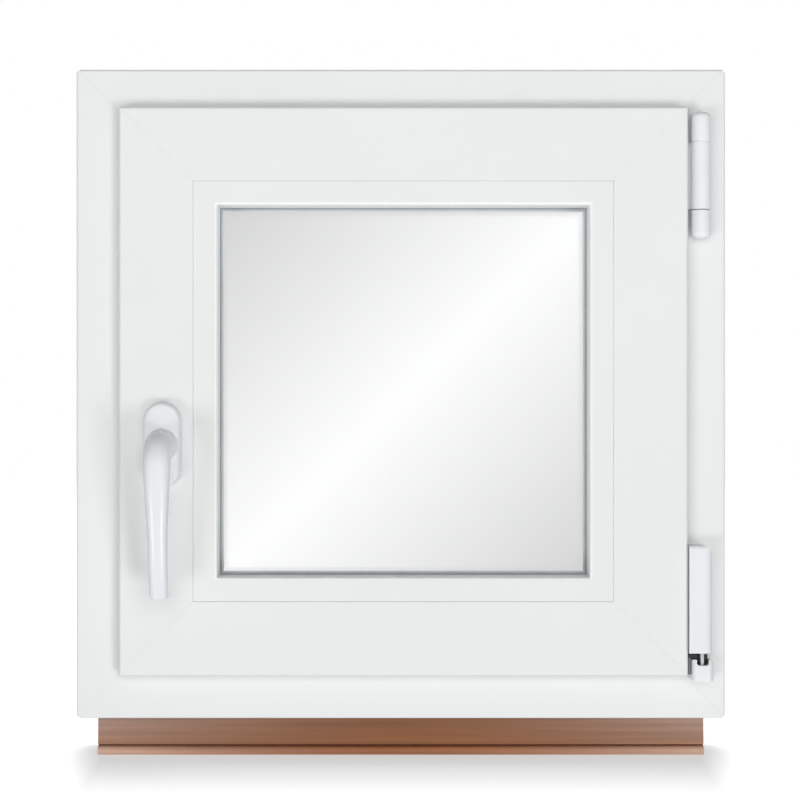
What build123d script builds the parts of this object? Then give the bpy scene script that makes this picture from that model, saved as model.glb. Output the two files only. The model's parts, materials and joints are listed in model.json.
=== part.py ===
from build123d import *
from dataclasses import dataclass
from math import cos, pi, sin, sqrt
import os

# A small white tilt-and-turn window with a sill profile under it, in millimetres.
# X runs to the right as seen from the room, Y from the room outward, Z up.
# The origin lies on the sill profile's underside, midway along it and below the middle of the frame's depth.

# Outer frame
frame_width = 500.0
frame_height = 500.0
frame_depth = 70.0
frame_face = 40.0  # width of a member's room face
frame_stop_reach = 22.0  # how far the stop leg reaches past that face
frame_stop_thickness = 20.0
frame_edge_radius = 2.0
frame_corner_radius = 4.0
anchor_groove_width = 6.0  # the two grooves round the outside of the frame
anchor_groove_depth = 3.5
anchor_groove_front = 23.0  # middle of each groove behind the room face
anchor_groove_rear = 49.0

# Hollow plastic profiles
wall = 2.8
web = 1.5
weld_width = 2.4  # cleaned weld seam along each mitre
weld_depth = 0.25

# Sash
sash_cover = 8.0  # overlap on the frame's room face
sash_proud = 13.0  # room face of the sash in front of the frame's
sash_shift_x = 2.0  # the sash hangs a little toward its hinges
sash_shift_z = 2.0
sash_face = 57.0
sash_setback = 13.0  # outside of the sash behind the frame's
sash_edge_radius = 2.5
sash_corner_radius = 2.0
sash_small_radius = 0.8  # behind the lip's edge
sash_lip_reach = 20.0
sash_lip_thickness = 9.5
sash_stop_gap = 3.0  # between the sash and the tip of the frame's stop leg
sash_stop_seal = 3.5  # room for the seal in front of the stop leg
sash_front_chamber = 9.5

# Glazing
bead_width = 18.5
bead_recess = 0.3  # bead face behind the sash face
bead_joint = 0.1
bead_mitre_gap = 0.02
bead_joint_radius = 0.3
bead_wall = 2.2
bead_front_radius = 2.4
bead_foot_height = 3.2
bead_foot_reach = 1.6
bead_foot_clearance = 0.2
bead_foot_back = 8.0  # from the foot's middle to the bead's back
glazing_leg_thickness = 10.0  # leg of the sash outside the glass
glazing_leg_setback = 3.0  # its sight edge behind the bead's
gasket_thickness = 3.0
gasket_seat = 8.0  # how far the gasket runs in under the bead
gasket_lip = 2.75  # how far it shows past the bead
gasket_lip_edge = 1.2
pane_thickness = 4.0
pane_gap = 16.0
pane_edge_gap = 5.0  # from the pane's edge to the sash
pane_edge_chamfer = 0.4
spacer_inset = 2.5
spacer_width = 8.0

# Seals between sash and frame
stop_seal_width = 5.0
stop_seal_inset = 1.5  # from the tip of the stop leg
stop_seal_crown = 2.4
lip_seal_width = 2.8
lip_seal_inset = 1.2

# Handle
handle_inset = 34.0  # spindle from the sash's edge
handle_drop = 41.0  # spindle below the sash's middle
rosette_width = 29.5
rosette_height = 66.0
rosette_thickness = 11.0
rosette_taper = 6.0
rosette_edge_chamfer = 1.2
rosette_floor = 2.5
neck_diameter = 22.0
neck_waist = 20.5
neck_gap = 0.3
journal_diameter = 16.0
journal_clearance = 0.05
journal_end_gap = 0.4
lever_reach = 47.0  # middle of the lever from the sash face, at the knee
lever_tip_reach = 31.0
lever_length = 115.0  # from the spindle to the tip
elbow_radius = 16.0
knee_width = 20.5
knee_thickness = 15.5
grip_station = 0.55  # how far along the grip its width is given
grip_width = 14.8
grip_thickness = 12.0
tip_width = 14.2
tip_thickness = 10.6
tip_radius = 2.2
neck_steps = 1  # sections along each run of the lever
elbow_steps = 6
grip_steps = 3
tip_steps = 3
lever_roundness = 0.46  # corner radius of the lever's section as a share of its thickness

# Upper hinge
hinge_diameter = 14.7
hinge_inset = 10.4  # hinge axis from the sash's edge
hinge_seat = 6.6  # hinge axis from the bracket
hinge_drop = 4.0  # top of the hinge below the sash's top
hinge_cap_height = 22.0
hinge_sleeve_height = 52.0
hinge_seam = 0.6
hinge_dome_radius = 4.5
hinge_dome_steps = 3
hinge_seam_chamfer = 0.5
hinge_cap_end = 3.0
hinge_pin_diameter = 6.0
hinge_pin_clearance = 0.05
hinge_web_thickness = 2.2
hinge_web_gap = 0.5
bracket_thickness = 2.0
bracket_width = 9.0
bracket_inset = 4.0

# Lower hinge
cover_gap = 0.5  # between the sash's edge and the cover
cover_width = 17.8
cover_depth = 17.0
cover_height = 82.5
cover_front_radius = 6.0
cover_side_radius = 2.0
cover_shoulder_radius = 9.0
cover_top_radius = 3.0
cover_wall = 2.0
cover_pocket = 24.0
cover_pocket_radius = 4.0
pivot_gap = 5.0  # pin showing between the cover and the cup
cup_drop = 4.0  # bottom of the cup below the sash's bottom
cup_width = 16.4
cup_depth = 14.5
cup_height = 16.7
cup_inset = 2.7  # side of the cup from the sash's edge
cup_front_radius = 5.0
cup_notch_width = 11.0
cup_notch_depth = 4.5
cup_floor = 4.0
corner_leg_thickness = 1.8
corner_leg_depth = 10.5
corner_leg_height = 13.5
corner_leg_lift = 1.0  # above the sash's bottom
corner_foot_reach = 15.0

# Sill profile under the frame
sill_length = 470.0
sill_height = 30.0
sill_setback = 14.0  # its front behind the frame's room face
sill_depth = 47.0
sill_wall = 2.2
sill_lip_height = 6.7
sill_lip_reach = 3.0
sill_lip_radius = 3.0
sill_groove_height = 1.4
sill_groove_depth = 3.0
sill_foot_height = 3.0
sill_foot_clearance = 0.4
sill_foot_slope = 80.0

# Drain caps on the outside of the frame's bottom member
drain_spacing = 260.0
drain_width = 34.0
drain_height = 10.0
drain_thickness = 4.5
drain_wall = 1.6
drain_rise = 31.0  # middle of the cap above the frame's bottom
drain_slot_width = 26.0
drain_slot_height = 5.0


@dataclass
class Outline:
    """An upright rectangle that a set of mitred members runs round, at its room side."""

    middle_x: float
    middle_z: float
    width: float
    height: float
    room_y: float


frame_room_y = -frame_depth / 2
frame_outline = Outline(0, sill_height + frame_height / 2, frame_width, frame_height, frame_room_y)

sash_margin = frame_face - sash_cover
sash_outline = Outline(
    frame_outline.middle_x + sash_shift_x,
    frame_outline.middle_z + sash_shift_z,
    frame_width - 2 * sash_margin,
    frame_height - 2 * sash_margin,
    frame_room_y - sash_proud,
)
sash_left = sash_outline.middle_x - sash_outline.width / 2
sash_right = sash_outline.middle_x + sash_outline.width / 2
sash_top = sash_outline.middle_z + sash_outline.height / 2
sash_bottom = sash_outline.middle_z - sash_outline.height / 2

# Depths through the sash, measured outward from its room face
sash_depth = frame_depth + sash_proud - sash_setback
glazing_leg_front = sash_depth - glazing_leg_thickness
glass_unit = 2 * pane_thickness + pane_gap
bead_depth = glazing_leg_front - glass_unit - 2 * gasket_thickness
inner_gasket_back = bead_depth + gasket_thickness
inner_pane_back = inner_gasket_back + pane_thickness
outer_pane_front = inner_pane_back + pane_gap
outer_pane_back = outer_pane_front + pane_thickness
sash_seal_face = sash_proud + frame_depth - frame_stop_thickness - sash_stop_seal
sight_edge = sash_face + bead_width
outer_sight_edge = sight_edge - glazing_leg_setback
sash_step = sash_cover + frame_stop_reach + sash_stop_gap
bead_foot_middle = bead_depth - bead_foot_back

INWARD = {
    "bottom": Vector(0, 0, 1),
    "top": Vector(0, 0, -1),
    "left": Vector(1, 0, 0),
    "right": Vector(-1, 0, 0),
}
OUTWARD_Y = Vector(0, 1, 0)


def edge_plane(side, outline):
    """Plane at the middle of one edge: local x runs inward, local y outward through the wall."""
    inward = INWARD[side]
    half = outline.width / 2 if inward.X else outline.height / 2
    middle = Vector(outline.middle_x, outline.room_y, outline.middle_z)
    return Plane(middle - inward * half, x_dir=inward, z_dir=inward.cross(OUTWARD_Y))


def edge_length(side, outline):
    return outline.height if INWARD[side].X else outline.width


def chamber(inner_from, inner_to, depth_from, depth_to):
    """One hollow of a profile, cut out of the section being drawn."""
    with Locations((inner_from, depth_from)):
        Rectangle(inner_to - inner_from, depth_to - depth_from, align=Align.MIN, mode=Mode.SUBTRACT)


def mitred_bar(section, side, outline, mitre_gap=0.0, corner_radius=0.0, welds=()):
    """A section run along one edge of an outline, mitred at both ends.

    Each weld is a face that carries a seam along the mitre: its depth, the side that the face
    looks to in Y, and where the face starts and ends inward from the edge.
    """
    plane = edge_plane(side, outline)
    half = edge_length(side, outline) / 2
    with BuildPart() as bar:
        with BuildSketch(plane):
            add(section)
        extrude(amount=half, both=True)
        for end in (1, -1):
            along = plane.z_dir * end
            corner = plane.origin + along * half
            outward = (plane.x_dir + along).normalized()
            split(bisect_by=Plane(corner - outward * mitre_gap, z_dir=outward), keep=Keep.BOTTOM)
            diagonal = (plane.x_dir - along).normalized()
            for depth, looks_to, start, stop in welds:
                seam_start = corner + OUTWARD_Y * depth + diagonal * start * sqrt(2)
                with BuildSketch(Plane(seam_start, x_dir=diagonal, z_dir=OUTWARD_Y * looks_to)):
                    seam_length = (stop - start) * sqrt(2)
                    Rectangle(seam_length, weld_width, align=(Align.MIN, Align.CENTER))
                extrude(amount=-weld_depth, mode=Mode.SUBTRACT)
        if corner_radius:
            with BuildSketch(Plane.XZ):
                with Locations((outline.middle_x, outline.middle_z)):
                    RectangleRounded(outline.width, outline.height, corner_radius)
            extrude(amount=2 * (frame_depth + sash_proud), both=True, mode=Mode.INTERSECT)
    return bar


def mitred_ring(section, outline):
    """The same section run round all four edges as one closed ring."""
    bars = [mitred_bar(section, side, outline) for side in INWARD]
    with BuildPart() as ring:
        for bar in bars:
            add(bar.part)
    return ring


def save(piece, name):
    piece.part.label = name
    export_step(piece.part, f"parts/{name}.step")


def frame_section():
    """L-shaped frame profile with its chambers and the two anchor grooves outside."""
    stop = frame_face + frame_stop_reach
    stop_front = frame_depth - frame_stop_thickness
    outer_wall = anchor_groove_depth + wall
    main_front = wall + sash_proud
    with BuildSketch() as section:
        with BuildLine():
            FilletPolyline(
                (0, 0),
                (frame_face, 0),
                (frame_face, stop_front),
                (stop, stop_front),
                (stop, frame_depth),
                (0, frame_depth),
                radius=[
                    frame_edge_radius,
                    frame_edge_radius,
                    0,
                    frame_edge_radius,
                    frame_edge_radius,
                    frame_edge_radius,
                ],
                close=True,
            )
        make_face()
        chamber(outer_wall, frame_face - wall, wall, main_front - web)
        chamber(outer_wall, frame_face - wall, main_front, stop_front - web)
        chamber(outer_wall, frame_face - wall - web, stop_front, frame_depth - wall)
        chamber(frame_face - wall, stop - wall, stop_front + wall, frame_depth - wall)
        for middle in (anchor_groove_front, anchor_groove_rear):
            chamber(
                0,
                anchor_groove_depth,
                middle - anchor_groove_width / 2,
                middle + anchor_groove_width / 2,
            )
    return section.sketch


def sash_section():
    """Sash profile: lip over the frame, hollow body, glazing rebate and outer glazing leg."""
    foot_half = bead_foot_height / 2 + bead_foot_clearance
    foot_depth = bead_foot_reach - bead_joint + bead_foot_clearance
    body_left = sash_lip_reach + wall
    body_right = sash_face - foot_depth - wall
    main_front = wall + sash_front_chamber + web
    rear_front = bead_depth + pane_gap
    with BuildSketch() as section:
        with BuildLine():
            FilletPolyline(
                (0, 0),
                (sash_face, 0),
                (sash_face, bead_foot_middle - foot_half),
                (sash_face - foot_depth, bead_foot_middle - foot_half),
                (sash_face - foot_depth, bead_foot_middle + foot_half),
                (sash_face, bead_foot_middle + foot_half),
                (sash_face, glazing_leg_front),
                (outer_sight_edge, glazing_leg_front),
                (outer_sight_edge, sash_depth),
                (sash_step, sash_depth),
                (sash_step, sash_seal_face),
                (sash_lip_reach, sash_seal_face),
                (sash_lip_reach, sash_lip_thickness),
                (0, sash_lip_thickness),
                radius=[sash_edge_radius, bead_joint_radius, 0, 0, 0, 0, 0, 0]
                + [sash_edge_radius, sash_edge_radius, 0, 0, 0, sash_small_radius],
                close=True,
            )
        make_face()
        chamber(wall, sash_lip_reach, wall, sash_lip_thickness - wall)
        chamber(body_left, body_right, wall, wall + sash_front_chamber)
        chamber(body_left, body_right, main_front, rear_front - web)
        chamber(body_left, body_right, rear_front, sash_seal_face - wall)
        chamber(sash_step + wall, outer_sight_edge - wall, glazing_leg_front + wall, sash_depth - wall)
    return section.sketch


def bead_section():
    """Hollow glazing bead with the foot that snaps into the sash."""
    start = sash_face + bead_joint
    foot = start - bead_foot_reach
    foot_half = bead_foot_height / 2
    with BuildSketch() as section:
        with BuildLine():
            FilletPolyline(
                (start, bead_recess),
                (sight_edge, bead_recess),
                (sight_edge, bead_depth),
                (start, bead_depth),
                (start, bead_foot_middle + foot_half),
                (foot, bead_foot_middle + foot_half),
                (foot, bead_foot_middle - foot_half),
                (start, bead_foot_middle - foot_half),
                radius=[bead_joint_radius, bead_front_radius, 0, 0, 0, 0, 0, 0],
                close=True,
            )
        make_face()
        chamber(start + bead_wall, sight_edge - bead_wall, bead_recess + bead_wall, bead_depth - bead_wall)
    return section.sketch


def gasket_section(pane_face, carrier_face, carrier_edge):
    """Glazing gasket between a pane and what presses on it, with a lip that slopes to the pane."""
    seat = carrier_edge - gasket_seat
    tip = carrier_edge + gasket_lip
    lip_face = pane_face + gasket_lip_edge * (1 if carrier_face > pane_face else -1)
    with BuildSketch() as section:
        with BuildLine():
            Polyline(
                (seat, pane_face),
                (tip, pane_face),
                (tip, lip_face),
                (carrier_edge, carrier_face),
                (seat, carrier_face),
                close=True,
            )
        make_face()
    return section.sketch


def stop_seal_section():
    """Seal on the frame's stop leg, a flat base narrowing to the crown that meets the sash."""
    stop_front = frame_depth - frame_stop_thickness
    middle = frame_face + frame_stop_reach - stop_seal_inset - stop_seal_width / 2
    with BuildSketch() as section:
        with BuildLine():
            Polyline(
                (middle - stop_seal_width / 2, stop_front),
                (middle - stop_seal_crown / 2, stop_front - sash_stop_seal),
                (middle + stop_seal_crown / 2, stop_front - sash_stop_seal),
                (middle + stop_seal_width / 2, stop_front),
                close=True,
            )
        make_face()
    return section.sketch


def lip_seal_section():
    """Seal behind the sash lip, pressed on the frame's room face."""
    with BuildSketch() as section:
        with Locations((lip_seal_inset, sash_lip_thickness)):
            Rectangle(lip_seal_width, sash_proud - sash_lip_thickness, align=Align.MIN)
    return section.sketch


def make_frame():
    section = frame_section()
    welds = [
        (0, -1, 0, frame_face),
        (frame_depth, 1, 0, frame_face + frame_stop_reach),
    ]
    names = {
        "top": "frame_head",
        "bottom": "frame_sill",
        "left": "frame_jamb_handle_side",
        "right": "frame_jamb_hinge_side",
    }
    for side, name in names.items():
        bar = mitred_bar(section, side, frame_outline, corner_radius=frame_corner_radius, welds=welds)
        save(with_drain_slots(bar) if side == "bottom" else bar, name)


def drain_places():
    height = sill_height + drain_rise
    return [(-drain_spacing / 2, height), (drain_spacing / 2, height)]


def with_drain_slots(bar):
    """The bottom member with slots through its outside wall, behind the drain caps."""
    with BuildPart() as drained:
        add(bar.part)
        with BuildSketch(Plane.XZ.offset(-frame_depth / 2)):
            with Locations(*drain_places()):
                Rectangle(drain_slot_width, drain_slot_height)
        extrude(amount=wall, mode=Mode.SUBTRACT)
    return drained


def make_drain_caps():
    """Hoods over the drain slots, open below."""
    for name, (middle_x, middle_z) in zip(("drain_cap_left", "drain_cap_right"), drain_places()):
        top = middle_z + drain_height / 2
        bottom = middle_z - drain_height / 2
        back = frame_depth / 2
        with BuildPart() as cap:
            with BuildSketch(Plane.YZ.offset(middle_x)):
                with BuildLine():
                    Polyline(
                        (back, bottom),
                        (back + drain_thickness, bottom),
                        (back + drain_thickness, top - drain_thickness),
                        (back + drain_wall, top),
                        (back, top),
                        close=True,
                    )
                make_face()
            extrude(amount=drain_width / 2, both=True)
            with BuildSketch(Plane.XY.offset(bottom)):
                with Locations((middle_x, back)):
                    Rectangle(
                        drain_width - 2 * drain_wall,
                        drain_thickness - drain_wall,
                        align=(Align.CENTER, Align.MIN),
                    )
            extrude(amount=drain_height - drain_thickness, mode=Mode.SUBTRACT)
        save(cap, name)


def make_sash():
    section = sash_section()
    welds = [(0, -1, 0, sash_face), (sash_depth, 1, sash_step, outer_sight_edge)]
    names = {
        "top": "sash_top_rail",
        "bottom": "sash_bottom_rail",
        "left": "sash_handle_stile",
        "right": "sash_hinge_stile",
    }
    for side, name in names.items():
        bar = mitred_bar(section, side, sash_outline, corner_radius=sash_corner_radius, welds=welds)
        save(bar, name)


def make_beads():
    section = bead_section()
    names = {
        "top": "glazing_bead_top",
        "bottom": "glazing_bead_bottom",
        "left": "glazing_bead_left",
        "right": "glazing_bead_right",
    }
    for side, name in names.items():
        save(mitred_bar(section, side, sash_outline, mitre_gap=bead_mitre_gap), name)


def make_seals():
    inside = gasket_section(inner_gasket_back, bead_depth, sight_edge)
    outside = gasket_section(outer_pane_back, glazing_leg_front, outer_sight_edge)
    save(mitred_ring(inside, sash_outline), "glazing_gasket_inside")
    save(mitred_ring(outside, sash_outline), "glazing_gasket_outside")
    save(mitred_ring(stop_seal_section(), frame_outline), "frame_stop_seal")
    save(mitred_ring(lip_seal_section(), sash_outline), "sash_lip_seal")


def make_glazing():
    """Two panes and the spacer that holds them apart."""
    inset = sash_face + pane_edge_gap
    width = sash_outline.width - 2 * inset
    height = sash_outline.height - 2 * inset
    middle = (sash_outline.middle_x, sash_outline.middle_z)
    for name, front in (("inner_pane", inner_gasket_back), ("outer_pane", outer_pane_front)):
        with BuildPart() as pane:
            with BuildSketch(Plane.XZ.offset(-(sash_outline.room_y + front))):
                with Locations(middle):
                    Rectangle(width, height)
            extrude(amount=-pane_thickness)
            chamfer(pane.edges().filter_by(Axis.Y, reverse=True), pane_edge_chamfer)
        save(pane, name)
    with BuildPart() as spacer:
        with BuildSketch(Plane.XZ.offset(-(sash_outline.room_y + inner_pane_back))):
            with Locations(middle):
                Rectangle(width - 2 * spacer_inset, height - 2 * spacer_inset)
                inner_margin = 2 * (spacer_inset + spacer_width)
                Rectangle(width - inner_margin, height - inner_margin, mode=Mode.SUBTRACT)
        extrude(amount=-pane_gap)
    save(spacer, "glass_spacer")


def handle_seat():
    """Plane on the sash's face at the spindle, looking into the room."""
    spindle = Vector(sash_left + handle_inset, sash_outline.room_y, sash_outline.middle_z - handle_drop)
    return Plane(spindle, x_dir=(1, 0, 0), z_dir=(0, -1, 0))


def make_rosette():
    """Oval plate on the sash, with the bore that the lever turns in."""
    seat = handle_seat()
    with BuildPart() as rosette:
        with BuildSketch(seat):
            SlotOverall(rosette_height, rosette_width, rotation=90)
        extrude(amount=rosette_thickness, taper=rosette_taper)
        front = rosette.faces().sort_by(Axis.Y)[0]
        chamfer(front.edges(), rosette_edge_chamfer)
        with BuildSketch(seat.offset(rosette_thickness)):
            Circle(journal_diameter / 2 + journal_clearance)
        extrude(amount=rosette_floor - rosette_thickness, mode=Mode.SUBTRACT)
    save(rosette, "handle_rosette")


def lever_sections(neck_start):
    """Places along the lever's bent middle line, each as a curve, a share of it, a width and a thickness."""
    side_view = Plane(handle_seat().origin, x_dir=(0, -1, 0), z_dir=(-1, 0, 0))
    with BuildLine(side_view):
        neck = Line((neck_start, 0), (lever_reach - elbow_radius, 0))
        elbow = TangentArc(neck @ 1, (lever_reach, -elbow_radius), tangent=neck % 1)
        grip = TangentArc(elbow @ 1, (lever_tip_reach, -lever_length), tangent=elbow % 1)
    tip_start = 1 - tip_radius / grip.length
    base_size = (neck_diameter, neck_diameter)
    waist_size = (neck_waist, neck_waist)
    knee_size = (knee_width, knee_thickness)
    grip_size = (grip_width, grip_thickness)
    tip_size = (tip_width, tip_thickness)
    runs = [
        (neck, 0, 1, neck_steps, base_size, waist_size),
        (elbow, 0, 1, elbow_steps, waist_size, knee_size),
        (grip, 0, grip_station, grip_steps, knee_size, grip_size),
        (grip, grip_station, tip_start, grip_steps, grip_size, tip_size),
    ]
    sections = [(neck, 0, *base_size)]
    for curve, start, stop, steps, (width, thickness), (end_width, end_thickness) in runs:
        for step in range(1, steps + 1):
            share = step / steps
            place = start + (stop - start) * share
            section_width = width + (end_width - width) * share
            section_thickness = thickness + (end_thickness - thickness) * share
            sections.append((curve, place, section_width, section_thickness))
    for step in range(1, tip_steps + 1):
        turn = pi / 2 * step / tip_steps
        place = tip_start + (1 - tip_start) * sin(turn)
        inset = 2 * tip_radius * (1 - cos(turn))
        sections.append((grip, place, tip_width - inset, tip_thickness - inset))
    return sections


def make_lever():
    """Cranked lever that narrows to a rounded tip, on a journal that turns in the rosette."""
    neck_start = rosette_thickness + neck_gap
    with BuildPart() as lever:
        for curve, place, width, thickness in lever_sections(neck_start):
            with BuildSketch(Plane(curve @ place, x_dir=(1, 0, 0), z_dir=curve % place)):
                RectangleRounded(width, thickness, thickness * lever_roundness)
        loft(ruled=True)
        with BuildSketch(handle_seat().offset(neck_start)):
            Circle(journal_diameter / 2)
        extrude(amount=-(neck_start - rosette_floor - journal_end_gap))
    save(lever, "handle_lever")


def barrel_end(level, outward, is_free):
    """Points of the barrel's profile from its side to its end face: a dome, or a small chamfer."""
    radius = hinge_diameter / 2
    rounding = hinge_dome_radius if is_free else hinge_seam_chamfer
    steps = hinge_dome_steps if is_free else 1
    points = []
    for step in range(steps + 1):
        turn = pi / 2 * step / steps
        side_inset = rounding * (1 - cos(turn))
        end_inset = rounding * (1 - sin(turn))
        points.append((radius - side_inset, level - outward * end_inset))
    return points


def hinge_barrel(axis, bottom, top, open_below, open_above):
    """One length of the upper hinge: round, flat at its back, closed and domed at a free end."""
    bore = hinge_pin_diameter / 2 + hinge_pin_clearance
    bore_bottom = bottom if open_below else bottom + hinge_cap_end
    bore_top = top if open_above else top - hinge_cap_end
    lower_end = barrel_end(bottom, -1, not open_below)
    upper_end = barrel_end(top, 1, not open_above)
    with BuildPart() as barrel:
        with BuildSketch(Plane(axis, x_dir=(1, 0, 0), z_dir=(0, -1, 0))):
            with BuildLine():
                Polyline((0, bottom), *reversed(lower_end), *upper_end, (0, top), close=True)
            make_face()
            chamber(0, bore, bore_bottom, bore_top)
        revolve(axis=Axis(axis, (0, 0, 1)))
        with BuildSketch(Plane.XY.offset(bottom)):
            with Locations((axis.X, axis.Y + hinge_seat)):
                Rectangle(hinge_diameter, hinge_diameter, align=(Align.CENTER, Align.MIN))
        extrude(amount=top - bottom, mode=Mode.SUBTRACT)
    return barrel


def make_upper_hinge():
    """Three barrels in line on a bracket, with the pin through them."""
    axis = Vector(sash_right + hinge_inset, frame_room_y - bracket_thickness - hinge_seat)
    top = sash_top - hinge_drop
    sleeve_top = top - hinge_cap_height - hinge_seam
    sleeve_bottom = sleeve_top - hinge_sleeve_height
    cap_top = sleeve_bottom - hinge_seam
    bottom = cap_top - hinge_cap_height

    save(hinge_barrel(axis, top - hinge_cap_height, top, True, False), "upper_hinge_top_cap")
    save(hinge_barrel(axis, bottom, cap_top, False, True), "upper_hinge_bottom_cap")

    web_start = sash_right + hinge_web_gap
    sleeve_barrel = hinge_barrel(axis, sleeve_bottom, sleeve_top, True, True)
    with BuildPart() as sleeve:
        add(sleeve_barrel.part)
        with BuildSketch(Plane.XY.offset(sleeve_bottom + hinge_seam_chamfer)):
            with Locations((web_start, axis.Y + hinge_seat)):
                reach = hinge_inset - hinge_web_gap
                Rectangle(reach, hinge_web_thickness, align=(Align.MIN, Align.MAX))
        extrude(amount=hinge_sleeve_height - 2 * hinge_seam_chamfer)
    save(sleeve, "upper_hinge_sleeve")

    with BuildPart() as pin:
        with BuildSketch(Plane.XY.offset(bottom + hinge_cap_end)):
            with Locations((axis.X, axis.Y)):
                Circle(hinge_pin_diameter / 2)
        extrude(amount=top - bottom - 2 * hinge_cap_end)
    save(pin, "upper_hinge_pin")

    with BuildPart() as bracket:
        with BuildSketch(Plane.XZ.offset(-frame_room_y)):
            with Locations((axis.X, (top + bottom) / 2)):
                Rectangle(bracket_width, top - bottom - 2 * bracket_inset)
        extrude(amount=bracket_thickness)
    save(bracket, "upper_hinge_bracket")


def make_lower_hinge():
    """Covered corner hinge: the cover hangs over a pin that stands in a cup on the frame."""
    cup_left = sash_right + cup_inset
    cup_bottom = sash_bottom - cup_drop
    cup_top = cup_bottom + cup_height
    cup_back = frame_room_y - corner_leg_thickness
    cover_left = sash_right + cover_gap
    cover_bottom = cup_top + pivot_gap
    cover_top = cover_bottom + cover_height
    cover_front = frame_room_y - cover_depth
    pin_x = cup_left + cup_width / 2
    pin_y = cup_back - cup_depth / 2

    with BuildPart() as cover:
        with BuildSketch(Plane.XY.offset(cover_bottom)):
            with BuildLine():
                FilletPolyline(
                    (cover_left, frame_room_y),
                    (cover_left + cover_width, frame_room_y),
                    (cover_left + cover_width, cover_front),
                    (cover_left, cover_front),
                    radius=[0, cover_side_radius, cover_front_radius, 0],
                    close=True,
                )
            make_face()
        extrude(amount=cover_height)
        with BuildSketch(Plane.XZ.offset(-frame_room_y)):
            with BuildLine():
                FilletPolyline(
                    (cover_left, cover_bottom),
                    (cover_left + cover_width, cover_bottom),
                    (cover_left + cover_width, cover_top),
                    (cover_left, cover_top),
                    radius=[0, 0, cover_shoulder_radius, 0],
                    close=True,
                )
            make_face()
        extrude(amount=cover_depth, mode=Mode.INTERSECT)
        with BuildSketch(Plane.YZ.offset(cover_left)):
            with BuildLine():
                FilletPolyline(
                    (frame_room_y, cover_bottom),
                    (frame_room_y, cover_top),
                    (cover_front, cover_top),
                    (cover_front, cover_bottom),
                    radius=[0, 0, cover_top_radius, 0],
                    close=True,
                )
            make_face()
        extrude(amount=cover_width, mode=Mode.INTERSECT)
        with BuildSketch(Plane.XY.offset(cover_bottom)):
            with Locations((cover_left + cover_width / 2, frame_room_y - cover_depth / 2)):
                pocket_width = cover_width - 2 * cover_wall
                RectangleRounded(pocket_width, cover_depth - 2 * cover_wall, cover_pocket_radius)
        extrude(amount=cover_pocket, mode=Mode.SUBTRACT)
    save(cover, "lower_hinge_cover")

    with BuildPart() as cup:
        with BuildSketch(Plane.XY.offset(cup_bottom)):
            with BuildLine():
                FilletPolyline(
                    (cup_left, cup_back),
                    (cup_left + cup_width, cup_back),
                    (cup_left + cup_width, cup_back - cup_depth),
                    (cup_left, cup_back - cup_depth),
                    radius=[0, cup_front_radius, cup_front_radius, 0],
                    close=True,
                )
            make_face()
        extrude(amount=cup_height)
        with BuildSketch(Plane.XZ.offset(-cup_back)):
            with Locations((pin_x, cup_top)):
                Rectangle(cup_notch_width, cup_notch_depth, align=(Align.CENTER, Align.MAX))
        extrude(amount=cup_depth, mode=Mode.SUBTRACT)
        with BuildSketch(Plane.XY.offset(cup_bottom + cup_floor)):
            with Locations((pin_x, pin_y)):
                Circle(hinge_pin_diameter / 2 + hinge_pin_clearance)
        extrude(amount=cup_height, mode=Mode.SUBTRACT)
    save(cup, "lower_hinge_cup")

    with BuildPart() as pin:
        with BuildSketch(Plane.XY.offset(cup_bottom + cup_floor)):
            with Locations((pin_x, pin_y)):
                Circle(hinge_pin_diameter / 2)
        extrude(amount=cover_bottom + cover_pocket - cup_bottom - cup_floor)
    save(pin, "lower_hinge_pin")

    with BuildPart() as bracket:
        leg_bottom = sash_bottom + corner_leg_lift
        leg_left = sash_right + cover_gap
        with BuildSketch(Plane.XY.offset(leg_bottom)):
            with BuildLine():
                Polyline(
                    (leg_left, frame_room_y),
                    (leg_left + corner_foot_reach, frame_room_y),
                    (leg_left + corner_foot_reach, cup_back),
                    (leg_left + corner_leg_thickness, cup_back),
                    (leg_left + corner_leg_thickness, frame_room_y - corner_leg_depth),
                    (leg_left, frame_room_y - corner_leg_depth),
                    close=True,
                )
            make_face()
        extrude(amount=corner_leg_height)
    save(bracket, "lower_hinge_corner_bracket")


def make_sill_profile():
    """Hollow profile under the frame, with a lip along its front and feet in the frame's grooves."""
    front = frame_room_y + sill_setback
    back = front + sill_depth
    groove_bottom = sill_lip_height
    groove_top = sill_lip_height + sill_groove_height
    middle = (front + back) / 2
    with BuildPart() as profile:
        with BuildSketch(Plane.YZ):
            with BuildLine():
                FilletPolyline(
                    (front - sill_lip_reach, 0),
                    (back, 0),
                    (back, sill_height),
                    (front, sill_height),
                    (front, groove_top),
                    (front + sill_groove_depth, groove_top),
                    (front + sill_groove_depth, groove_bottom),
                    (front - sill_lip_reach, groove_bottom),
                    radius=[sill_lip_radius, 0, 0, 0, 0, 0, 0, sill_lip_radius],
                    close=True,
                )
            make_face()
            inner_front = front + sill_groove_depth + sill_wall
            upper_floor = groove_top + sill_wall
            chamber(inner_front, middle - web / 2, upper_floor, sill_height - sill_wall)
            chamber(inner_front, middle - web / 2, sill_wall, upper_floor - web)
            chamber(middle + web / 2, back - sill_wall, sill_wall, sill_height - sill_wall)
            for groove in (anchor_groove_front, anchor_groove_rear):
                with Locations((frame_room_y + groove, sill_height)):
                    foot_width = anchor_groove_width - 2 * sill_foot_clearance
                    Trapezoid(foot_width, sill_foot_height, sill_foot_slope, align=(Align.CENTER, Align.MIN))
        extrude(amount=sill_length / 2, both=True)
    save(profile, "sill_profile")


os.makedirs("parts", exist_ok=True)
make_frame()
make_drain_caps()
make_sash()
make_beads()
make_seals()
make_glazing()
make_rosette()
make_lever()
make_upper_hinge()
make_lower_hinge()
make_sill_profile()
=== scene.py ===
import json
import math

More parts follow.
